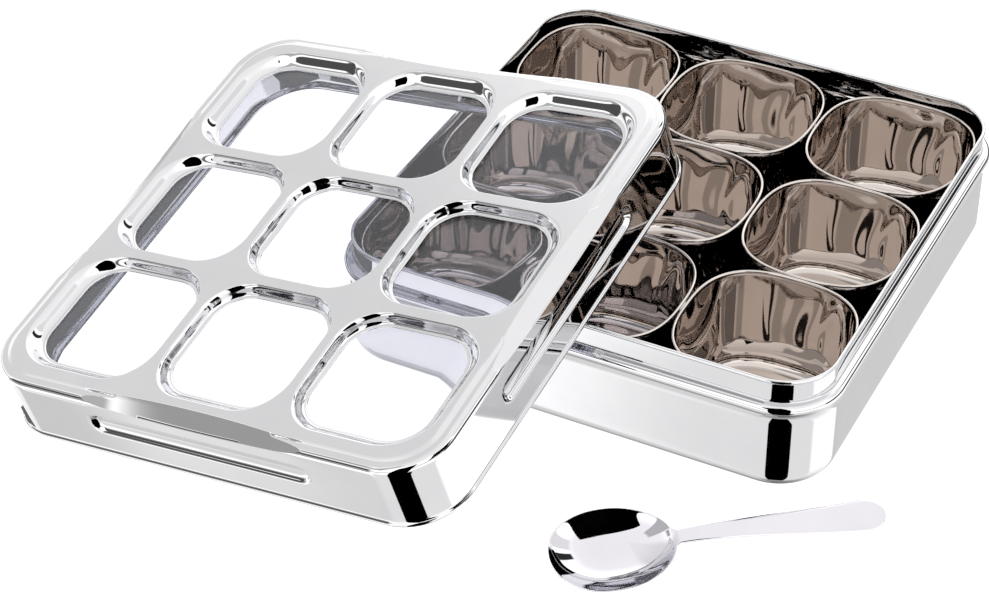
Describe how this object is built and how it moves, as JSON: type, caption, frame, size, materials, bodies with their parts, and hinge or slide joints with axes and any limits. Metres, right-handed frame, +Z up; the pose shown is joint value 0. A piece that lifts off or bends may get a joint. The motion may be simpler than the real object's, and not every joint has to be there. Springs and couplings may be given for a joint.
{
  "type": "spice box",
  "caption": "Square stainless steel spice box with loose square cups, a pressed lid with rounded windows over a clear sheet, and a spoon.",
  "frame": {"origin": "centre of the box's underside, on the table", "axes": "+Z up, +Y towards the back of the box, +X to the right; the lid leans on the front left, and the spoon lies in front"},
  "size_m": [0.3717, 0.3605, 0.1109],
  "materials": {
    "box_steel": "mirror-polished stainless steel, pressed sheet",
    "cup_steel": "mirror-polished stainless steel, pressed sheet, faintly warmer inside",
    "lid_steel": "mirror-polished stainless steel, pressed sheet",
    "clear_sheet": "clear flat plastic sheet, polished both sides",
    "spoon_steel": "mirror-polished stainless steel, stamped sheet"
  },
  "bodies": {
    "box": {"box_body": "box_steel"},
    "cup_front_left": {"cup_front_left": "cup_steel"},
    "cup_front_middle": {"cup_front_middle": "cup_steel"},
    "cup_front_right": {"cup_front_right": "cup_steel"},
    "cup_mid_left": {"cup_mid_left": "cup_steel"},
    "cup_middle": {"cup_middle": "cup_steel"},
    "cup_mid_right": {"cup_mid_right": "cup_steel"},
    "cup_back_left": {"cup_back_left": "cup_steel"},
    "cup_back_middle": {"cup_back_middle": "cup_steel"},
    "cup_back_right": {"cup_back_right": "cup_steel"},
    "lid": {"lid_frame": "lid_steel", "lid_clear_sheet": "clear_sheet"},
    "spoon": {"spoon": "spoon_steel"}
  },
  "joints": [
    {"name": "cup_front_left_lift", "type": "slide", "parent": "box", "child": "cup_front_left", "axis": [0, 0, 1], "range_m": [0, 0.011]},
    {"name": "cup_front_middle_lift", "type": "slide", "parent": "box", "child": "cup_front_middle", "axis": [0, 0, 1], "range_m": [0, 0.006]},
    {"name": "cup_front_right_lift", "type": "slide", "parent": "box", "child": "cup_front_right", "axis": [0, 0, 1], "range_m": [0, 0.065]},
    {"name": "cup_mid_left_lift", "type": "slide", "parent": "box", "child": "cup_mid_left", "axis": [0, 0, 1], "range_m": [0, 0.006]},
    {"name": "cup_middle_lift", "type": "slide", "parent": "box", "child": "cup_middle", "axis": [0, 0, 1], "range_m": [0, 0.018]},
    {"name": "cup_mid_right_lift", "type": "slide", "parent": "box", "child": "cup_mid_right", "axis": [0, 0, 1], "range_m": [0, 0.065]},
    {"name": "cup_back_left_lift", "type": "slide", "parent": "box", "child": "cup_back_left", "axis": [0, 0, 1], "range_m": [0, 0.065]},
    {"name": "cup_back_middle_lift", "type": "slide", "parent": "box", "child": "cup_back_middle", "axis": [0, 0, 1], "range_m": [0, 0.065]},
    {"name": "cup_back_right_lift", "type": "slide", "parent": "box", "child": "cup_back_right", "axis": [0, 0, 1], "range_m": [0, 0.065]},
    {"name": "lid_lift", "type": "slide", "parent": "box", "child": "lid", "axis": [0, 0, 1], "range_m": [0, 0.15]},
    {"name": "spoon_lift", "type": "slide", "parent": "box", "child": "spoon", "axis": [0, 0, 1], "range_m": [0, 0.1]}
  ]
}
